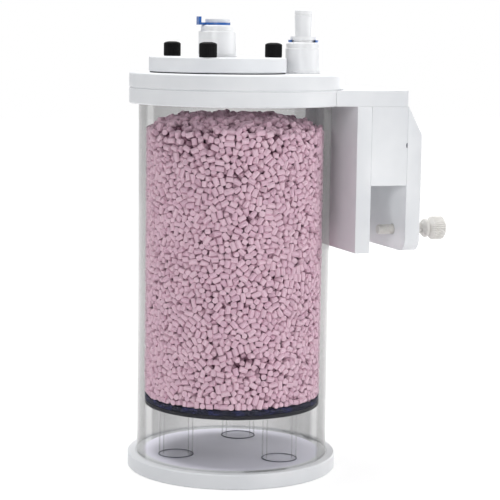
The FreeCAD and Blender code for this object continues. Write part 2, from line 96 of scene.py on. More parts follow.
lampPlan = {
    # name: place, aim, side of the square, watts
    "keySoftbox": ((0.75, -1.25, 1.15), (0.0, 0.0, 0.14), 0.9, 4.3),
    "lowSoftbox": ((-0.814, -0.957, 0.476), (0.0, 0.0, 0.13), 0.35, 4.4),
    "rightBank": ((1.25, -0.7, 0.45), (0.0, 0.0, 0.13), 0.9, 8.0),
    "topBank": ((-0.1, 0.25, 1.4), (0.02, 0.0, 0.2), 1.0, 18.2),
    "backBank": ((1.1, 0.9, 0.6), (0.0, 0.0, 0.13), 0.9, 5.6),
}


def makeLamps():
    for name, (place, aim, side, power) in lampPlan.items():
        data = bpy.data.lights.new(name, "AREA")
        data.shape = "SQUARE"
        data.size = side
        data.energy = power
        lamp = bpy.data.objects.new(name, data)
        bpy.context.scene.collection.objects.link(lamp)
        lamp.location = place
        lamp.rotation_euler = (Vector(aim) - Vector(place)).to_track_quat("-Z", "Y").to_euler()


# Shader helpers


class Wire:
    # one output socket of a material; sums, products and comparisons on it add Math nodes
    def __init__(self, maker, socket):
        self.maker = maker
        self.socket = socket

    def operate(self, operation, first, second):
        return self.maker.node("ShaderNodeMath", {"operation": operation}, {0: first, 1: second})

    def __add__(self, other):
        return self.operate("ADD", self, other)

    def __radd__(self, other):
        return self.operate("ADD", other, self)

    def __sub__(self, other):
        return self.operate("SUBTRACT", self, other)

    def __rsub__(self, other):
        return self.operate("SUBTRACT", other, self)

    def __mul__(self, other):
        return self.operate("MULTIPLY", self, other)

    def __rmul__(self, other):
        return self.operate("MULTIPLY", other, self)

    def __gt__(self, other):
        return self.operate("GREATER_THAN", self, other)


class Finish:
    # builds one procedural material round a Principled shader
    def __init__(self, name, blended=False):
        self.material = bpy.data.materials.new(name)
        self.material.use_nodes = True
        self.tree = self.material.node_tree
        self.shader = next(n for n in self.tree.nodes if n.type == "BSDF_PRINCIPLED")
        if blended:
            self.material.surface_render_method = "BLENDED"

    def operate(self, operation, value):
        return self.node("ShaderNodeMath", {"operation": operation}, {0: value})

    def node(self, kind, settings=None, inputs=None, output=0):
        made = self.tree.nodes.new(kind)
        for key, value in (settings or {}).items():
            if key == "stops":
                ramp = made.color_ramp
                while len(ramp.elements) < len(value):
                    ramp.elements.new(0.5)
                for element, (where, colour) in zip(ramp.elements, value):
                    element.position = where
                    element.color = (*colour, 1.0)
            else:
                setattr(made, key, value)
        for key, value in (inputs or {}).items():
            self.feed(made, key, value)
        return Wire(self, made.outputs[output])

    def feed(self, made, key, value):
        socket = made.inputs[key]
        if isinstance(value, Wire):
            self.tree.links.new(value.socket, socket)
        else:
            socket.default_value = value

    def place(self):
        return self.node("ShaderNodeTexCoord", output=3)

    def axisDistance(self):
        level = self.node("ShaderNodeVectorMath", {"operation": "MULTIPLY"},
                          {0: self.place(), 1: (1.0, 1.0, 0.0)})
        return self.node("ShaderNodeVectorMath", {"operation": "LENGTH"}, {0: level}, output=1)

    def facing(self):
        # nought where the surface is seen face on, one where it is seen edge on
        return self.node("ShaderNodeLayerWeight", None, {"Blend": 0.5}, output=1)

    def noise(self, scale, detail=2.0, stretch=None, rough=0.5):
        where = self.place()
        if stretch:
            where = self.node("ShaderNodeMapping", None, {"Vector": where, "Scale": stretch})
        return self.node("ShaderNodeTexNoise", None,
                         {"Vector": where, "Scale": scale, "Detail": detail, "Roughness": rough})

    def mix(self, factor, low, high):
        # colours given as three numbers, or links
        made = self.tree.nodes.new("ShaderNodeMix")
        made.data_type = "RGBA"
        self.feed(made, 0, factor)
        self.feed(made, 6, low if isinstance(low, Wire) else (*low, 1.0))
        self.feed(made, 7, high if isinstance(high, Wire) else (*high, 1.0))
        return Wire(self, made.outputs[2])

    def span(self, value, low, high, out=(0.0, 1.0)):
        return self.node("ShaderNodeMapRange", {"clamp": True},
                         {0: value, 1: low, 2: high, 3: out[0], 4: out[1]})

    def bump(self, height, strength, distance):
        return self.node("ShaderNodeBump", None,
                         {"Height": height, "Strength": strength, "Distance": distance})

    def finish(self, **sockets):
        names = {"colour": "Base Color", "rough": "Roughness", "metal": "Metallic", "alpha": "Alpha",
                 "normal": "Normal", "specular": "Specular IOR Level", "ior": "IOR"}
        for key, value in sockets.items():
            if key == "colour" and not isinstance(value, Wire):
                value = (*value, 1.0)
            self.feed(self.shader, names[key], value)
        return self.material


# Finishes

sheetLook = {"colour": (0.80, 0.81, 0.825), "shade": (0.72, 0.735, 0.755), "fleck": (0.55, 0.55, 0.53),
             "paintedBounceRadii": (0.050, 0.052),  # radii over which the painted bounce light fades out
             "paintedBounceTint": (0.90, 0.885, 0.99)}


def sheetFinish(name, inside=None):
    # matt rolled sheet plastic: cloudy tone, rare specks, faint rolling grain and saw lines on cut faces;
    # the base gets a lavender tint inside the tube, painted bounce light from the pink pellets
    f = Finish(name)
    cloud = f.span(f.noise(26.0, 3.0), 0.36, 0.66)
    tone = f.mix(cloud, sheetLook["shade"], sheetLook["colour"])
    specks = f.span(f.noise(1500.0, 1.0), 0.755, 0.80)
    tone = f.mix(specks * 0.45, tone, sheetLook["fleck"])
    if inside:
        # painted bounce light: a lavender tint within the tube's radius
        tone = f.mix(1.0 - f.span(f.axisDistance(), *sheetLook["paintedBounceRadii"]), tone, inside)
    grain = f.noise(2600.0, 2.0)
    sawLines = f.noise(700.0, 1.0, stretch=(0.15, 0.15, 4.0))
    height = grain * 0.35 + sawLines * 0.65
    return f.finish(colour=tone, rough=f.span(f.noise(120.0), 0.3, 0.7, (0.42, 0.56)),
                    normal=f.bump(height, 0.35, 0.00005), specular=0.4)


mouldedLook = {"colour": (0.83, 0.835, 0.84), "shade": (0.76, 0.765, 0.78)}


def mouldedFinish():
    # injection moulded plastic: smoother and glossier, with slow flow marks
    f = Finish("mouldedPlastic")
    flow = f.span(f.noise(90.0, 2.0, stretch=(1.0, 1.0, 0.3)), 0.35, 0.65)
    tone = f.mix(flow, mouldedLook["shade"], mouldedLook["colour"])
    return f.finish(colour=tone, rough=f.span(f.noise(500.0), 0.3, 0.7, (0.28, 0.38)),
                    normal=f.bump(f.noise(1800.0), 0.15, 0.00004), specular=0.5)


clearLook = {
    "near": 0.02,  # opacity of the wall in front
    "far": 0.24,  # more of it on the wall behind
    "side": 1.1,  # growth of that towards the sides
    "edge": 0.48,  # more of it where the wall is seen edge on
    "edgeSpan": (0.56, 0.62),  # share of facing away at which the edge begins and is full
    "middle": 0.053,  # radius between the tube's inner and outer surface
    "streaks": 0.02,
    "dark": (0.12, 0.12, 0.125),
    "rim": (0.30, 0.30, 0.294),
    "postEdge": 0.14,
}


def clearFinish(name, far, edge, middle):
    # polished acrylic: clear face on and grey where the wall is seen edge on; the surfaces of the wall
    # behind take more light than those of the wall in front, and light on its way in is hardly dimmed
    f = Finish(name, blended=True)
    facing = f.facing()
    rim = f.span(facing, *clearLook["edgeSpan"])
    outside = f.axisDistance() > middle
    away = f.node("ShaderNodeNewGeometry", output=6)
    behind = f.operate("ABSOLUTE", outside + away - 1.0)
    streaks = f.span(f.noise(55.0, 3.0, stretch=(1.0, 1.0, 0.05)), 0.5, 0.75)
    tone = f.mix(rim, clearLook["dark"], clearLook["rim"])
    depth = behind * (1.0 - rim) * far * (facing * clearLook["side"] + 1.0) + outside * rim * edge
    seen = f.node("ShaderNodeLightPath", output=0)
    alpha = seen * depth + streaks * clearLook["streaks"] + clearLook["near"]
    return f.finish(colour=tone, alpha=alpha, rough=f.span(f.noise(30.0), 0.4, 0.7, (0.03, 0.07)),
                    specular=0.06, ior=1.49)


# the last colour is painted shade, the dark plum of pellets lying deep among the others
pelletLook = {"pale": (0.81, 0.58, 0.67), "deep": (0.72, 0.475, 0.585), "dust": (0.84, 0.67, 0.74),
              "paintedShade": (0.22, 0.085, 0.14)}


def pelletFinish():
    # dry pressed powder: tone set for each pellet, chalky patches and a sandy bump, and painted shade that
    # darkens pellets lying deeper in the bed
    f = Finish("pressedPellet")
    own = f.node("ShaderNodeAttribute", {"attribute_name": "pelletTone"}, None, output=2)
    grain = f.noise(1300.0, 4.0, rough=0.7)
    tone = f.mix(own, pelletLook["deep"], pelletLook["pale"])
    tone = f.mix(f.span(grain, 0.5, 0.72) * 0.6, tone, pelletLook["dust"])
    # painted shade: a stored factor for each corner darkens pellets away from the wall and under the heap's
    # top
    paintedShade = f.node("ShaderNodeAttribute", {"attribute_name": "pelletDepth"}, None, output=2)
    tone = f.mix(paintedShade, tone, pelletLook["paintedShade"])
    return f.finish(colour=tone, rough=0.92, normal=f.bump(grain, 0.7, 0.00025), specular=0.15)


def coreFinish():
    # the pellets deep inside the bed, which only show as dark gaps: their dark plum is painted shade, darkest
    # between the lumps
    f = Finish("deepPelletsPaintedShade")
    lumps = f.node("ShaderNodeTexVoronoi", {"feature": "F1"}, {"Vector": f.place(), "Scale": 260.0})
    # painted shade: lighter plum on the lumps, near black between them
    tone = f.mix(f.span(lumps, 0.1, 0.6), (0.34, 0.16, 0.25), (0.14, 0.06, 0.10))
    return f.finish(colour=tone, rough=0.95, normal=f.bump(lumps, 0.8, -0.001), specular=0.05)


def foamFinish():
    # charcoal open-cell foam, its pores painted near black as the shade inside the cells, with painted
    # blue-grey glints in patches on the cell walls
    f = Finish("filterFoam")
    cells = f.node("ShaderNodeTexVoronoi", {"feature": "DISTANCE_TO_EDGE"},
                   {"Vector": f.place(), "Scale": 900.0})
    walls = 1.0 - f.span(cells, 0.02, 0.16)
    patches = f.span(f.noise(160.0, 3.0), 0.48, 0.68)
    # painted shade in the pores, and painted glints on the walls
    tone = f.mix(walls, (0.006, 0.006, 0.012), (0.06, 0.062, 0.10))
    tone = f.mix(patches * walls, tone, (0.08, 0.085, 0.27))
    return f.finish(colour=tone, rough=0.9, normal=f.bump(walls, 0.9, 0.0004), specular=0.2)


def darkFinish(name, colour, rough, scale, depth):
    # black parts: a dull grain over a near-black tone
    f = Finish(name)
    grain = f.noise(scale, 3.0)
    tone = f.mix(f.span(grain, 0.35, 0.7), colour, tuple(c * 1.6 + 0.002 for c in colour))
    return f.finish(colour=tone, rough=f.span(grain, 0.3, 0.7, (rough, rough + 0.14)),
                    normal=f.bump(grain, 0.4, depth), specular=0.06)


def blueFinish():
    f = Finish("blueClip")
    shade = f.span(f.noise(400.0, 2.0), 0.35, 0.65)
    tone = f.mix(shade, (0.006, 0.075, 0.30), (0.012, 0.115, 0.42))
    return f.finish(colour=tone, rough=f.span(f.noise(900.0), 0.3, 0.7, (0.30, 0.42)),
                    normal=f.bump(f.noise(1500.0), 0.2, 0.00004), specular=0.5)


def naturalFinish():
    # natural plastic pipe: light comes through it, and it is whiter where its wall is seen edge on
    f = Finish("naturalPipe", blended=True)
    cloud = f.span(f.noise(200.0, 2.0), 0.35, 0.65)
    tone = f.mix(cloud, (0.68, 0.68, 0.66), (0.76, 0.76, 0.745))
    return f.finish(colour=tone, alpha=f.facing() * 0.14 + 0.05, rough=0.35, specular=0.2,
                    normal=f.bump(f.noise(1400.0), 0.1, 0.00004))


def nylonFinish():
    # natural nylon: ivory, a little waxy
    f = Finish("ivoryNylon")
    shade = f.span(f.noise(220.0, 2.0), 0.35, 0.68)
    tone = f.mix(shade, (0.64, 0.62, 0.59), (0.73, 0.715, 0.685))
    return f.finish(colour=tone, rough=f.span(f.noise(700.0), 0.3, 0.7, (0.34, 0.46)),
                    normal=f.bump(f.noise(1400.0), 0.2, 0.00005), specular=0.45)


def steelFinish():
    f = Finish("turnedSteel")
    brush = f.noise(600.0, 3.0, stretch=(1.0, 1.0, 6.0))
    tone = f.mix(brush, (0.42, 0.42, 0.43), (0.60, 0.60, 0.61))
    return f.finish(colour=tone, metal=1.0, rough=f.span(brush, 0.3, 0.7, (0.24, 0.38)),
                    normal=f.bump(brush, 0.2, 0.00003))


looks = {
    "sheet": sheetFinish("sheetPlastic"),
    # the base's sheet carries the painted bounce light inside the tube
    "baseSheet": sheetFinish("baseSheetPlastic", sheetLook["paintedBounceTint"]),
    "moulded": mouldedFinish(),
    "tube": clearFinish("clearTube", clearLook["far"], clearLook["edge"], clearLook["middle"]),
    "post": clearFinish("clearPost", 0.0, clearLook["postEdge"], 0.0),
    "pipe": naturalFinish(),
    # dark cement that is also painted shade: contact shade at the posts' feet and the shade inside a joint
    # gap
    "cementAndShade": darkFinish("cementAndPaintedShade", (0.10, 0.10, 0.125), 0.5, 900.0, 0.00004),
    "pellet": pelletFinish(),
    "core": coreFinish(),
    "foam": foamFinish(),
    "black": darkFinish("blackPlastic", (0.004, 0.004, 0.0045), 0.45, 1100.0, 0.00005),
    "plate": darkFinish("supportPlate", (0.026, 0.026, 0.030), 0.5, 1100.0, 0.00005),
    "rubber": darkFinish("blackRubber", (0.006, 0.006, 0.006), 0.65, 1800.0, 0.00006),
    "blue": blueFinish(),
    "nylon": nylonFinish(),
    "steel": steelFinish(),
}
nodeLooks = {
    "base_plate": "baseSheet", "flange_ring": "sheet", "top_plate": "sheet", "lid": "sheet",
    "bracket_arm": "sheet", "bracket_inner_leg": "sheet", "bracket_block": "sheet",
    "bracket_outer_leg": "sheet", "body_tube": "tube", "lid_gasket": "rubber",
    "outlet_seal_ring": "rubber", "inlet_seal_ring": "rubber", "outlet_fitting_body": "moulded",
    "inlet_fitting_body": "moulded", "outlet_collet": "moulded", "inlet_collet": "moulded",
    "downpipe": "pipe", "blanking_plug": "moulded", "support_post_1": "post",
    "support_post_2": "post", "support_post_3": "post", "support_plate": "plate",
    "sponge_pad": "foam", "media_bed": "pellet", "outlet_clip": "blue", "inlet_clip": "blue",
    "clamp_rod_1": "nylon", "clamp_rod_2": "nylon", "clamp_knob_1": "nylon", "clamp_knob_2": "nylon",
    "thumb_screw_stem_1": "steel", "thumb_screw_stem_2": "steel", "thumb_screw_stem_3": "steel",
    "thumb_screw_head_1": "black", "thumb_screw_head_2": "black", "thumb_screw_head_3": "black",
}


def dressNodes():
    for name, look in nodeLooks.items():
        slots = nodes[name].data.materials
        slots.clear()
        slots.append(looks[look])


# Mesh helpers


def meshPiece(name, points, faces, look, body, sharpAngle=35.0):
    # a finished piece with its place in its mesh
    mesh = bpy.data.meshes.new(name)
    mesh.from_pydata(points.reshape(-1, 3).tolist(), [], faces)
    mesh.update()
    piece = bpy.data.objects.new(name, mesh)
    bpy.context.scene.collection.objects.link(piece)
    mesh.materials.append(looks[look])
    mesh.shade_smooth()
    mesh.set_sharp_from_angle(angle=math.radians(sharpAngle))
    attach(piece, body)
    return piece


def gridFaces(rows, columns, loopRows=False):
    # quads between neighbouring rows of a grid whose columns close on themselves
    upper = rows if loopRows else rows - 1
    i = np.arange(upper)[:, None]
    j = np.arange(columns)[None, :]
    after = (j + 1) % columns
    above = (i + 1) % rows
    quads = np.stack([i * columns + j, i * columns + after,
                      above * columns + after, above * columns + j], -1)
    return quads.reshape(-1, 4).tolist()


def turned(name, profile, look, body, place=(0, 0, 0), along="z", segments=96,
           relief=None, loop=False, sharpAngle=35.0):
    # surface of revolution: each profile point (radius, height) goes round the axis, and relief(angle,
    # radius, height) is taken off the radius; an open profile starts and ends at radius nought, where a
    # pole closes it, and a looped one closes on itself
    profile = np.asarray(profile, float)
    angle = np.linspace(0, 2 * np.pi, segments, endpoint=False)
    radius = profile[:, :1] * np.ones_like(angle)
    height = profile[:, 1:] * np.ones_like(angle)
    if relief is not None:
        radius = radius - relief(angle, profile[:, :1], profile[:, 1:])
    points = np.stack([radius * np.cos(angle), radius * np.sin(angle), height], -1)
    if loop:
        faces = gridFaces(len(profile), segments, loopRows=True)
        grid = points.reshape(-1, 3)
    else:
        inner = points[1:-1]
        faces = gridFaces(len(inner), segments)
        grid = np.concatenate([inner.reshape(-1, 3), points[0, :1], points[-1, :1]])
        low, high = len(grid) - 2, len(grid) - 1
        last = (len(inner) - 1) * segments
        faces += [[low, (j + 1) % segments, j] for j in range(segments)]
        faces += [[high, last + j, last + (j + 1) % segments] for j in range(segments)]
    if along == "x":
        grid = grid[:, [2, 0, 1]]
    return meshPiece(name, (grid + np.array(place)) * mm, faces, look, body, sharpAngle)


def softened(corners, radius, steps=4, closed=False):
    # profile with each corner replaced by a short curve: points on a parabola between two set-back points
    corners = np.asarray(corners, float)
    count = len(corners)
    points = []
    for k in range(count):
        if not closed and k in (0, count - 1):
            points.append(corners[k][None])
            continue
        here, before, after = corners[k], corners[k - 1], corners[(k + 1) % count]
        back = min(radius, 0.45 * np.linalg.norm(before - here))
        ahead = min(radius, 0.45 * np.linalg.norm(after - here))
        start = here + (before - here) / np.linalg.norm(before - here) * back
        end = here + (after - here) / np.linalg.norm(after - here) * ahead
        t = np.linspace(0, 1, steps + 1)[:, None]
        points.append(start * (1 - t) ** 2 + here * 2 * t * (1 - t) + end * t ** 2)
    return np.concatenate(points)


# Pellets

pelletBed = {
    "seed": 41,
    "bottom": plan["padTop"],
    "edgeTop": 195.5,
    "crown": 8.7,
    "hollows": 0.8,
    "stray": (-1.8, 1.8),  # how far a pellet stays below the heap's surface, or with a minus above it
    "radius": 50.6,
    "squeeze": 0.25,  # how far a pellet's corner may pass that radius
    "layer": 7.2,  # depth of loose pellets outside the core
    "width": (3.15, 3.6),
    "length": (3.0, 5.6),
    "fill": 0.74,
    "shade": (1.1, 3.2),  # depth at which the painted shade on pellets begins, and over how much more it reaches full
    "pipe": (plan["inletCentre"], 4.3),
    "pieces": 3,
    "divided": 162.0,  # height that the pieces share out
}
packing = {
    "rounds": 130,
    "regroup": 6,  # rounds between two searches for neighbours
    "margin": 0.5,
    "inset": 0.86,  # share of a ball's radius that the end balls lie inside the rod's ends
    "shorten": (0.85, 1.0),
    "coreGap": 0.4,
    "shift": 0.9,
    "swing": 0.7,
}
pelletShape = {
    "along": (-0.5, -0.44, 0.44, 0.5),
    "across": (0.84, 1.0, 1.0, 0.84),
    "points": 8,
    "ringSize": (0.95, 1.05),
    "pointSize": (0.94, 1.06),
    "wander": 0.06,
    "slant": 0.16,
    "toneBeta": (2.2, 1.6),
}


def bedTop(radius, angle=0.0):
    # flat-topped heap with shallow hollows: height falls with the fourth power of the radius, less a sum of
    # slow waves over the plan
    heap = pelletBed["edgeTop"] + pelletBed["crown"] * (1 - (radius / pelletBed["radius"]) ** 4)
    x, y = radius * np.cos(angle), radius * np.sin(angle)
    waves = np.sin(x * 0.23 + 1.1) * np.sin(y * 0.27 - 0.4) + 0.6 * np.sin(x * 0.51 - y * 0.38)
    return heap - pelletBed["hollows"] * (1 + waves / 1.6)


def nearPairs(spheres, reach):
    # pairs of spheres in the same or neighbouring cells of a cubic grid, found by sorting cell numbers
    cell = np.floor(spheres / reach).astype(np.int64)
    cell -= cell.min(0)
    size = cell.max(0) + 3
    key = ((cell[:, 0] + 1) * size[1] + cell[:, 1] + 1) * size[2] + cell[:, 2] + 1
    order = np.argsort(key, kind="stable")
    sortedKey = key[order]
    firsts, seconds = [], []
    for dx in (-1, 0, 1):
        for dy in (-1, 0, 1):
            for dz in (-1, 0, 1):
                shift = (dx * size[1] + dy) * size[2] + dz
                if shift < 0:
                    continue
                low = np.searchsorted(sortedKey, key + shift, "left")
                high = np.searchsorted(sortedKey, key + shift, "right")
                count = high - low
                first = np.repeat(np.arange(len(key)), count)
                step = np.arange(count.sum()) - np.repeat(np.cumsum(count) - count, count)
                second = order[np.repeat(low, count) + step]
                if shift == 0:
                    keep = first < second
                    first, second = first[keep], second[keep]
                firsts.append(first)
                seconds.append(second)
    return np.concatenate(firsts), np.concatenate(seconds)


def packPellets():
    # random rods in the outer layer and the top of the bed, pushed apart until they lie beside each other;
    # each rod is three balls, and a ball's push moves the rod by its mean and turns it by its moment
    rng = np.random.default_rng(pelletBed["seed"])
    outer, layer, floor = pelletBed["radius"], pelletBed["layer"], pelletBed["bottom"]
    coreRadius = outer - layer
    shell = np.pi * (outer ** 2 - coreRadius ** 2) * (pelletBed["edgeTop"] - floor)
    cap = np.pi * coreRadius ** 2 * layer
    meanVolume = np.pi / 4 * np.mean(pelletBed["width"]) ** 2 * np.mean(pelletBed["length"])
    count = int(pelletBed["fill"] * (shell + cap) / meanVolume)
    shellCount = int(count * shell / (shell + cap))
    angle = rng.uniform(0, 2 * np.pi, count)
    reach = np.sqrt(rng.uniform(coreRadius ** 2, outer ** 2, count))
    reach[shellCount:] = np.sqrt(rng.uniform(0, coreRadius ** 2, count - shellCount))
    height = rng.uniform(floor, pelletBed["edgeTop"], count)
    height[shellCount:] = bedTop(reach[shellCount:]) - rng.uniform(0, layer, count - shellCount)
    centre = np.stack([reach * np.cos(angle), reach * np.sin(angle), height], -1)
    way = rng.normal(size=(count, 3))
    way /= np.linalg.norm(way, axis=1, keepdims=True)
    width = rng.uniform(*pelletBed["width"], count)
    length = rng.uniform(*pelletBed["length"], count) * rng.uniform(*packing["shorten"], count)
    ball = width / 2
    offset = (length / 2 - ball * packing["inset"])[:, None] * np.array([-1.0, 0.0, 1.0])
    ballRadius = np.repeat(ball, 3)
    moment = np.maximum((offset ** 2).sum(1), 1.0)
    sunk = np.repeat(rng.uniform(*pelletBed["stray"], count), 3)
    pipeX, pipeRadius = pelletBed["pipe"]
    for turn in range(packing["rounds"]):
        balls = (centre[:, None] + way[:, None] * offset[:, :, None]).reshape(-1, 3)
        if turn % packing["regroup"] == 0:
            first, second = nearPairs(balls, pelletBed["width"][1] + packing["margin"])
            apart = first // 3 != second // 3
            first, second = first[apart], second[apart]
        gap = balls[first] - balls[second]
        distance = np.linalg.norm(gap, axis=1) + 1e-9
        overlap = ballRadius[first] + ballRadius[second] - distance
        touching = overlap > 0
        push = (gap * (0.5 * overlap / distance)[:, None])[touching]
        moved = np.zeros_like(balls)
        for k in range(3):
            moved[:, k] += np.bincount(first[touching], push[:, k], len(balls))
            moved[:, k] -= np.bincount(second[touching], push[:, k], len(balls))
        spread = np.hypot(balls[:, 0], balls[:, 1])
        outward = balls[:, :2] / (spread[:, None] + 1e-9)
        over = np.maximum(spread + ballRadius - outer, 0)
        moved[:, :2] -= outward * over[:, None]
        intoCore = coreRadius + packing["coreGap"] - (spread - ballRadius)
        top = bedTop(spread, np.arctan2(balls[:, 1], balls[:, 0]))
        belowTop = top - layer - (balls[:, 2] - ballRadius)
        inside = (intoCore > 0) & (belowTop > 0)
        sideways = inside & (intoCore < belowTop)
        moved[:, :2] += outward * np.where(sideways, intoCore, 0)[:, None]
        moved[:, 2] += np.where(inside & ~sideways, belowTop, 0)
        moved[:, 2] += np.maximum(floor - (balls[:, 2] - ballRadius), 0)
        moved[:, 2] -= np.maximum(balls[:, 2] + ballRadius + sunk - top, 0)
        fromPipe = balls[:, :2] - np.array([pipeX, 0.0])
        pipeDistance = np.linalg.norm(fromPipe, axis=1) + 1e-9
        near = np.maximum(pipeRadius + ballRadius - pipeDistance, 0)
        moved[:, :2] += fromPipe * (near / pipeDistance)[:, None]
        moved = moved.reshape(count, 3, 3)
        centre += moved.mean(1) * packing["shift"]
        way += (moved * offset[:, :, None]).sum(1) / moment[:, None] * packing["swing"]
        way /= np.linalg.norm(way, axis=1, keepdims=True)
    return centre, way, width, length, rng


def pelletMeshes():
    # one pellet: a few points round each ring along its axis, with a narrow chamfer at each flat end and
    # each ring a little off centre and off size, so that the rod looks broken off
    centre, way, width, length, rng = packPellets()
    count = len(centre)
    side = np.cross(way, rng.normal(size=(count, 3)))
    side /= np.linalg.norm(side, axis=1, keepdims=True)
    other = np.cross(way, side)
    shape = pelletShape
    rings, sides = len(shape["along"]), shape["points"]
    corners = rings * sides
    turn = np.arange(sides) * 2 * np.pi / sides
    ringSize = np.array(shape["across"]) * rng.uniform(*shape["ringSize"], (count, rings))
    pointSize = rng.uniform(*shape["pointSize"], (count, rings, sides))
    spoke = ringSize[:, :, None] * pointSize * (width / 2)[:, None, None]
    wander = rng.normal(0, shape["wander"], (count, rings, 2))
    u = spoke * np.cos(turn) + wander[:, :, :1]
    v = spoke * np.sin(turn) + wander[:, :, 1:]
    slant = rng.normal(0, shape["slant"], (count, 2, 2))
    w = (np.array(shape["along"]) * length[:, None])[:, :, None] + np.zeros((1, 1, sides))
    w[:, 0] += u[:, 0] * slant[:, 0, :1] + v[:, 0] * slant[:, 0, 1:]
    w[:, -1] += u[:, -1] * slant[:, 1, :1] + v[:, -1] * slant[:, 1, 1:]
    points = (centre[:, None, None] + u[..., None] * side[:, None, None]
              + v[..., None] * other[:, None, None] + w[..., None] * way[:, None, None])
    spread = np.hypot(points[..., 0], points[..., 1])
    squeeze = np.minimum(1.0, (pelletBed["radius"] + pelletBed["squeeze"]) / spread)
    points[..., :2] *= squeeze[..., None]
    points[..., 2] = np.clip(points[..., 2], pelletBed["bottom"], None)
    quads = np.array(gridFaces(rings, sides))
    tone = rng.beta(*shape["toneBeta"], count)
    spread = np.hypot(points[..., 0], points[..., 1])
    below = bedTop(spread, np.arctan2(points[..., 1], points[..., 0])) - points[..., 2]
    depth = np.minimum(pelletBed["radius"] - spread, below)
    # painted shade for each corner: darker the deeper it lies inside the wall and under the heap's top
    paintedShade = np.clip((depth - pelletBed["shade"][0]) / pelletBed["shade"][1], 0, 1).reshape(count, -1)
    pieces = pelletBed["pieces"]
    level = (centre[:, 2] - pelletBed["bottom"]) / pelletBed["divided"]
    part = np.clip((level * pieces).astype(int), 0, pieces - 1)
    for number in range(pieces):
        chosen = np.nonzero(part == number)[0]
        block = points[chosen].reshape(-1, 3)
        start = np.arange(len(chosen)) * corners
        faces = (start[:, None, None] + quads).reshape(-1, 4).tolist()
        lowCap = (start[:, None] + np.arange(sides - 1, -1, -1)).tolist()
        highCap = (start[:, None] + corners - sides + np.arange(sides)).tolist()
        piece = meshPiece(f"pellets_{number + 1}", block * mm, faces + lowCap + highCap, "pellet",
                          "canister", 38.0)
        attribute = piece.data.attributes.new("pelletTone", "FLOAT", "POINT")
        attribute.data.foreach_set("value", np.repeat(tone[chosen], corners).astype(np.float32))
        # painted shade, stored for each corner for the pellet finish
        attribute = piece.data.attributes.new("pelletDepth", "FLOAT", "POINT")
        attribute.data.foreach_set("value", paintedShade[chosen].ravel().astype(np.float32))
    say(f"{count} pellets")


def makeMedia():
    # loose pellets over a plain lumpy core, which closes the bed behind them
    pelletMeshes()
    outer, layer = pelletBed["radius"], pelletBed["layer"]
    side = outer - layer + 0.9
    rise = np.linspace(0, 1, 40)
    crownRadius = side * (1 - np.linspace(0, 1, 18))
    floor = pelletBed["bottom"]
    profile = [(0.0, floor)] + [(side, floor + (bedTop(side) - layer - floor) * t) for t in rise]
    profile += [(r, bedTop(r) - layer) for r in crownRadius[1:]]

    def lumps(angle, radius, height):
        wave = np.sin(angle * 67 + height * 1.3) * np.sin(height * 1.9 + angle * 23)
        return 0.5 * wave * (radius > 1)
    core = turned("pellet_core", profile, "core", "canister", segments=180,
                  relief=lumps, sharpAngle=180.0)
    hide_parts("media_bed")


# Foam pad

foamPad = {
    "radius": 50.5,
    "top": plan["padTop"],
    "pipeX": plan["inletCentre"],
    "pipeRadius": 4.4,
    "columns": 260,
    "rough": 0.12,
    "rings": (  # share of the way from hole to rim, and depth under the top
        (0.0, 0), (0.1, 0), (0.25, 0), (0.45, 0), (0.65, 0), (0.82, 0), (0.94, 0), (0.99, 0.1),
        (1.0, 0.3), (1.0, 1.0), (1.0, 2.0), (1.0, 2.9), (0.99, 3.1), (0.9, 3.2), (0.5, 3.2),
        (0.0, 3.2), (0.0, 1.6)),
}


def makeFoam():
    # disc with a pipe hole: rings run from the hole's edge out to the rim, on the top, over the rim and
    # back underneath; the surface is roughened by summed sine waves of the angle and ring
    columns = foamPad["columns"]
    angle = np.linspace(0, 2 * np.pi, columns, endpoint=False)
    rim = np.stack([np.cos(angle), np.sin(angle)], -1) * foamPad["radius"]
    hole = np.stack([foamPad["pipeX"] + foamPad["pipeRadius"] * np.cos(angle),
                     foamPad["pipeRadius"] * np.sin(angle)], -1)
    share, level = np.array(foamPad["rings"]).T
    flat = hole + (rim - hole) * share[:, None, None]
    height = foamPad["top"] - level[:, None] * np.ones(columns)
    row = np.arange(len(share))[:, None]
    rough = np.sin(angle * 91 + row * 2.1) * np.sin(angle * 37 - row * 1.3) * foamPad["rough"]
    onRim = (share[:, None] > 0.93) & (level[:, None] < 3.0)
    flat = flat - rim / foamPad["radius"] * (np.abs(rough) * onRim)[..., None]
    points = np.concatenate([flat, height[..., None]], -1)
    faces = gridFaces(len(share), columns, loopRows=True)
    pad = meshPiece("foam_pad", points * mm, [face[::-1] for face in faces], "foam", "canister",
                    60.0)
    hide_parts("sponge_pad")


# Screws and knobs

clampScrew = {"tip": 80.2, "knobStart": 107.7, "rodInKnob": 11.0, "side": 22.0, "level": 137.8,
              "radius": 2.95, "pitch": 1.0, "threadDepth": 0.55, "knob": 6.75, "flutes": 30,
              "fluteDepth": 0.85}
thumbScrew = {"radius": 4.9, "height": 8.4, "flutes": 30, "fluteDepth": 0.28, "stem": 2.5,
              "stemClearance": 0.1, "pitch": 0.8, "threadDepth": 0.42, "top": 241.0, "bottom": 218.6,
              "seat": plan["lidTop"], "centre": plan["lidCentre"], "circle": 34.0,
              "angles": (2.3, 122.3, 242.3)}


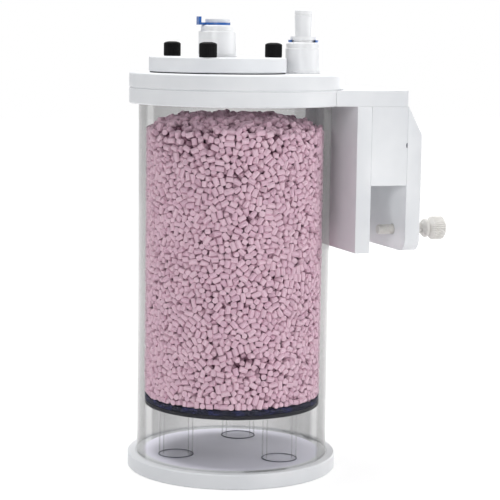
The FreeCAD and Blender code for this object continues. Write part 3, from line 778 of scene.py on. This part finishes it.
def threadedShank(name, radius, depth, pitch, start, end, look, body, place, along):
    # shank with a screw thread: the radius falls by a triangle wave of height over pitch less angle over a
    # full turn; over the first and last pitch that fades out and the shank narrows to a lead-in
    steps = int((end - start) / pitch * 8)
    height = np.linspace(start, end, steps + 1)
    radii = np.full(len(height), radius)
    profile = np.concatenate([[[0.0, start]], np.stack([radii, height], -1), [[0.0, end]]])

    def groove(angle, atRadius, atHeight):
        phase = (atHeight / pitch - angle / (2 * np.pi)) % 1.0
        wave = np.abs(phase - 0.5) * 2
        fromStart = np.clip((atHeight - start) / pitch, 0, 1)
        fromEnd = np.clip((end - atHeight) / pitch, 0, 1)
        fade = fromStart * fromEnd
        ends = (1 - fromStart) + (1 - fromEnd)
        return np.where(atRadius > 0, depth * wave * fade + depth * 0.8 * ends, 0)
    return turned(name, profile, look, body, place, along, 28, groove, sharpAngle=50.0)


def knurl(count, depth, low, high):
    # straight knurl: rounded ribs between two heights, fading out within half a millimetre of each
    def relief(angle, radius, height):
        rib = np.abs(np.sin(angle * count / 2)) ** 0.6
        mask = np.clip((height - low) / 0.5, 0, 1) * np.clip((high - height) / 0.5, 0, 1)
        return depth * (1 - rib) * mask * (radius > 1)
    return relief


def knobProfile(corners, rounding, radius, low, high, rows):
    # softened profile whose straight side at the given radius gets more rows, for the knurl to bend
    body = softened(corners, rounding, 3)
    split = int(np.nonzero(np.abs(body[:, 0] - radius) < 1e-6)[0][0])
    side = np.stack([np.full(rows, radius), np.linspace(low, high, rows)], -1)
    return np.concatenate([body[:split + 1], side, body[split + 1:]])


def onCircle(radius, degrees, centre=0.0):
    return centre + radius * math.cos(math.radians(degrees)), radius * math.sin(math.radians(degrees))


def makeThumbScrews():
    top = thumbScrew["height"]
    r = thumbScrew["radius"]
    stemHole = thumbScrew["stem"] + thumbScrew["stemClearance"]
    corners = [(0, 5.6), (stemHole, 5.6), (stemHole, 0), (r - 0.35, 0), (r, 0.35), (r, top - 1.3),
               (r - 0.35, top - 0.75), (r - 1.4, top - 0.3), (r - 3.0, top), (0, top)]
    profile = knobProfile(corners, 0.3, r, 0.8, top - 1.5, 12)
    for number, degrees in enumerate(thumbScrew["angles"], start=1):
        x, y = onCircle(thumbScrew["circle"], degrees, thumbScrew["centre"])
        head = turned(f"thumb_head_{number}", profile, "black", f"thumb_head_{number}",
                      (x, y, thumbScrew["seat"]), segments=180,
                      relief=knurl(thumbScrew["flutes"], thumbScrew["fluteDepth"], 0.5, top - 1.0))
        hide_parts(f"thumb_screw_head_{number}")
        stem = threadedShank(f"thumb_stem_{number}", thumbScrew["stem"], thumbScrew["threadDepth"],
                             thumbScrew["pitch"], thumbScrew["bottom"], thumbScrew["top"], "steel",
                             f"thumb_stem_{number}", (x, y, 0), "z")
        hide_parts(f"thumb_screw_stem_{number}")


def makeClampScrews():
    r = clampScrew["knob"]
    corners = [(0, 11.1), (3.05, 11.1), (3.05, 0), (3.2, 0), (5.4, 1.9), (5.4, 3.3), (4.0, 3.3),
               (4.0, 4.3), (r, 6.7), (r, 12.8), (r - 0.9, 13.7), (r - 2.6, 14.5), (r - 4.4, 14.8),
               (0, 14.8)]
    profile = knobProfile(corners, 0.25, r, 7.2, 12.3, 14)
    for number, y in ((1, -clampScrew["side"]), (2, clampScrew["side"])):
        knob = turned(f"clamp_knob_{number}_grip", profile, "nylon", f"clamp_knob_{number}",
                      (clampScrew["knobStart"], y, clampScrew["level"]), "x", 216,
                      knurl(clampScrew["flutes"], clampScrew["fluteDepth"], 6.3, 13.0))
        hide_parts(f"clamp_knob_{number}")
        rodEnd = clampScrew["knobStart"] + clampScrew["rodInKnob"]
        rod = threadedShank(f"clamp_rod_{number}_thread", clampScrew["radius"], clampScrew["threadDepth"],
                            clampScrew["pitch"], clampScrew["tip"], rodEnd, "nylon",
                            f"clamp_rod_{number}", (0, y, clampScrew["level"]), "x")
        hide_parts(f"clamp_rod_{number}")


# Push-fit fittings and the plug

fitting = {"stub": 6.6, "stubDepth": 6.0, "flow": 3.5, "stop": 5.2, "port": 4.865, "chamber": 6.9,
           "cap": 9.8, "collarTop": 14.2, "top": 17.8}
ports = {
    # name: centre, seat, collar radius, body
    "outlet": (plan["lidCentre"], plan["lidTop"], 11.1, "lid"),
    "inlet": (plan["inletCentre"], plan["plateTop"], 10.1, "canister"),
}


def makeFittings():
    # stepped housing: from the flow bore down the stub, out under the collar, up to the cap and back inside
    g = fitting
    for name, (x, seat, collar, body) in ports.items():
        corners = [(g["flow"], -g["stubDepth"]), (g["stub"], -g["stubDepth"]), (g["stub"], 0.0),
                   (collar - 0.25, 0.0), (collar - 0.25, 1.2), (collar, 1.4), (collar, g["collarTop"]),
                   (g["cap"], g["collarTop"] + 0.25), (g["cap"], g["top"] - 0.7),
                   (g["cap"] - 0.7, g["top"]), (g["chamber"], g["top"]), (g["chamber"], g["stop"]),
                   (g["port"], g["stop"]), (g["port"], 0.0), (g["flow"], 0.0)]
        piece = turned(f"{name}_housing", softened(corners, 0.35, 4, closed=True), "moulded", body,
                       (x, 0, seat), loop=True)
        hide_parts(f"{name}_fitting_body")


def makePlug():
    # round plug of tubing size that widens to a head with a groove under its rim
    x, seat = ports["inlet"][:2]
    corners = [(0, 0.4), (3.965, 0.4), (4.765, 1.2), (4.765, 20.9), (5.17, 32.9), (4.95, 33.05),
               (4.95, 33.35), (5.2, 33.5), (5.2, 35.8), (4.8, 36.2), (3.0, 36.2), (2.8, 35.7), (0, 35.7)]
    plug = turned("inlet_plug", softened(corners, 0.25, 3), "moulded", "blanking_plug",
                  (x, 0, seat), segments=72)
    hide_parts("blanking_plug")


# Sheet pieces of the bracket

bracketSheets = ("bracket_arm", "bracket_inner_leg", "bracket_block", "bracket_outer_leg")
bracketEdge = {"offset": 0.28, "sharpFrom": 35.0}  # width of the round, and the angle from which it is cut


def makeBracket():
    # copy of each sheet piece whose sharp edges are broken by a narrow round, so that they catch the light
    # and the joints between the sheets show as fine lines
    for name in bracketSheets:
        work = bmesh.new()
        work.from_mesh(nodes[name].data)
        work.transform(nodes[name].matrix_world)
        bmesh.ops.remove_doubles(work, verts=work.verts, dist=1e-6)
        bmesh.ops.dissolve_limit(work, angle_limit=math.radians(1.0), verts=work.verts, edges=work.edges)
        limit = math.radians(bracketEdge["sharpFrom"])
        sharp = [e for e in work.edges if len(e.link_faces) == 2 and e.calc_face_angle() > limit]
        bmesh.ops.bevel(work, geom=sharp, offset=bracketEdge["offset"] * mm, segments=2, profile=0.5,
                        affect="EDGES")
        mesh = bpy.data.meshes.new(f"{name}_sheet")
        work.to_mesh(mesh)
        work.free()
        piece = bpy.data.objects.new(f"{name}_sheet", mesh)
        bpy.context.scene.collection.objects.link(piece)
        mesh.materials.append(looks["sheet"])
        mesh.shade_smooth()
        mesh.set_sharp_from_angle(angle=math.radians(25))
        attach(piece, "canister")
        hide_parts(name)


# Solvent cement and painted shade: beads at the tube's ends, dark rings of cement and painted shade round the
# posts' feet, and a gap in the bracket's joint painted dark as shade

bead = {"inner": 54.9, "outer": 56.0, "hollow": 55.25, "height": 1.1, "lip": 0.25}


def makeBeads():
    # ring whose section is a quarter hollow: profile points of a small triangle with its long side drawn in
    for name, level, upward in (("base_bead", plan["baseTop"], 1), ("flange_bead", plan["ringBottom"], -1)):
        corners = [(bead["inner"], level), (bead["outer"], level),
                   (bead["hollow"], level + bead["lip"] * upward),
                   (bead["inner"], level + bead["height"] * upward)]
        section = softened(corners, 0.1, 2, closed=True)
        if upward < 0:
            section = section[::-1]
        turned(name, section, "post", "canister", loop=True, segments=160)


glueNick = {"x": 89.35, "level": 187.3, "front": -40.0, "width": 0.55, "height": 1.5, "points": 20}
footRing = {"circle": 34.4, "radius": 9.9, "angles": (64, 184, 304), "lift": 0.02}


def makeNick():
    # lens-shaped gap where the glue stops, on the front edge between the block and the outer leg, painted
    # dark as the shade inside it
    count = glueNick["points"]
    angle = np.linspace(0, 2 * np.pi, count, endpoint=False)
    rings = []
    for share, out in ((1.0, 0.3), (1.0, -0.02), (0.55, -0.05)):
        x = glueNick["x"] - glueNick["width"] * share * np.abs(np.cos(angle)) * (np.cos(angle) < 0)
        x = x + 0.18 * share * np.cos(angle)
        z = glueNick["level"] + glueNick["height"] * share * np.sin(angle)
        rings.append(np.stack([x, np.full(count, glueNick["front"] + out), z], -1))
    ends = [list(range(count)), list(range(3 * count - 1, 2 * count - 1, -1))]
    faces = [face[::-1] for face in gridFaces(3, count)] + ends
    meshPiece("glue_nick", np.array(rings) * mm, faces, "cementAndShade", "canister")


def makeFootRings():
    # dark line round each post's foot: dried cement, darkened further as painted contact shade where the post
    # meets the base
    for number, degrees in enumerate(footRing["angles"], start=1):
        x, y = onCircle(footRing["circle"], degrees)
        r, low = footRing["radius"], plan["baseTop"] + footRing["lift"]
        section = [(r - 0.35, low), (r + 0.3, low), (r + 0.22, low + 0.2), (r - 0.2, low + 0.43)]
        turned(f"foot_ring_{number}", section, "cementAndShade", "canister", (x, y, 0),
               segments=72, loop=True)


# Floor and background

floorLook = {
    "half": 4.0,
    "drop": 0.0002,
    "bounce": (0.80, 0.80, 0.80),  # colour that lights the object from below
    "seen": (0.28, 0.28, 0.28),  # colour under the glow, where the object's shadow shows
    "glow": 0.78,  # glow beside the object, which grows to 1 between the two distances
    "near": 0.12,
    "far": 0.5,
}
roomLook = {"light": (0.93, 0.95, 1.0), "strength": 0.18}


def makeStage():
    # floor that looks white to the camera and in reflections, and keeps the object's shadow
    span = np.linspace(-1, 1, 3) * floorLook["half"]
    x, y = np.meshgrid(span, span)
    points = np.stack([x, y, np.full_like(x, -floorLook["drop"])], -1).reshape(-1, 3)
    quads = [[i * 3 + j, i * 3 + j + 1, (i + 1) * 3 + j + 1, (i + 1) * 3 + j]
             for i in range(2) for j in range(2)]
    mesh = bpy.data.meshes.new("studioFloor")
    mesh.from_pydata(points.tolist(), [], quads)
    floor = bpy.data.objects.new("studioFloor", mesh)
    bpy.context.scene.collection.objects.link(floor)
    f = Finish("paleFloor")
    seen = f.node("ShaderNodeLightPath", output=0)
    glossy = f.node("ShaderNodeLightPath", output=3)
    through = f.node("ShaderNodeLightPath", output=6)
    apart = f.node("ShaderNodeVectorMath", {"operation": "LENGTH"}, {0: f.place()}, output=1)
    level = f.span(apart, floorLook["near"], floorLook["far"], (floorLook["glow"], 1.0))
    direct = f.span(seen + glossy + through, 0.0, 1.0) * level
    glow = f.mix(direct, (0.0, 0.0, 0.0), (1.0, 1.0, 1.0))
    f.shader.inputs["Emission Strength"].default_value = 1.0
    f.feed(f.shader, "Emission Color", glow)
    f.finish(colour=f.mix(seen, floorLook["bounce"], floorLook["seen"]), rough=0.95, specular=0.0)
    mesh.materials.append(f.material)


def makeWorld():
    # dim room light on the object, and plain white for the camera, reflections and what shows through
    world = bpy.data.worlds.new("softRoom")
    bpy.context.scene.world = world
    world.use_nodes = True
    tree = world.node_tree
    background = next(n for n in tree.nodes if n.type == "BACKGROUND")
    output = next(n for n in tree.nodes if n.type == "OUTPUT_WORLD")
    background.inputs["Color"].default_value = (*roomLook["light"], 1.0)
    background.inputs["Strength"].default_value = roomLook["strength"]
    white = tree.nodes.new("ShaderNodeBackground")
    white.inputs["Color"].default_value = (1.0, 1.0, 1.0, 1.0)
    white.inputs["Strength"].default_value = 1.0
    path = tree.nodes.new("ShaderNodeLightPath")
    first = tree.nodes.new("ShaderNodeMath")
    second = tree.nodes.new("ShaderNodeMath")
    for made in (first, second):
        made.operation = "MAXIMUM"
    choose = tree.nodes.new("ShaderNodeMixShader")
    tree.links.new(path.outputs["Is Camera Ray"], first.inputs[0])
    tree.links.new(path.outputs["Is Glossy Ray"], first.inputs[1])
    tree.links.new(first.outputs[0], second.inputs[0])
    tree.links.new(path.outputs["Is Transmission Ray"], second.inputs[1])
    tree.links.new(second.outputs[0], choose.inputs[0])
    tree.links.new(background.outputs[0], choose.inputs[1])
    tree.links.new(white.outputs[0], choose.inputs[2])
    tree.links.new(choose.outputs[0], output.inputs["Surface"])


bpy.context.scene.view_settings.view_transform = "Standard"
# a ray through tube, posts and pipe crosses more clear surfaces than the default lets through
bpy.context.scene.cycles.transparent_max_bounces = 24
makeCamera()
makeLamps()
makeStage()
makeWorld()
say("camera, lamps and floor")
dressNodes()
say("finishes on the carried-over pieces")
makeFittings()
makePlug()
makeBracket()
makeThumbScrews()
makeClampScrews()
say("fittings, plug and screws")
makeFoam()
makeBeads()
makeFootRings()
makeNick()
makeMedia()
say("foam pad and pellet bed")
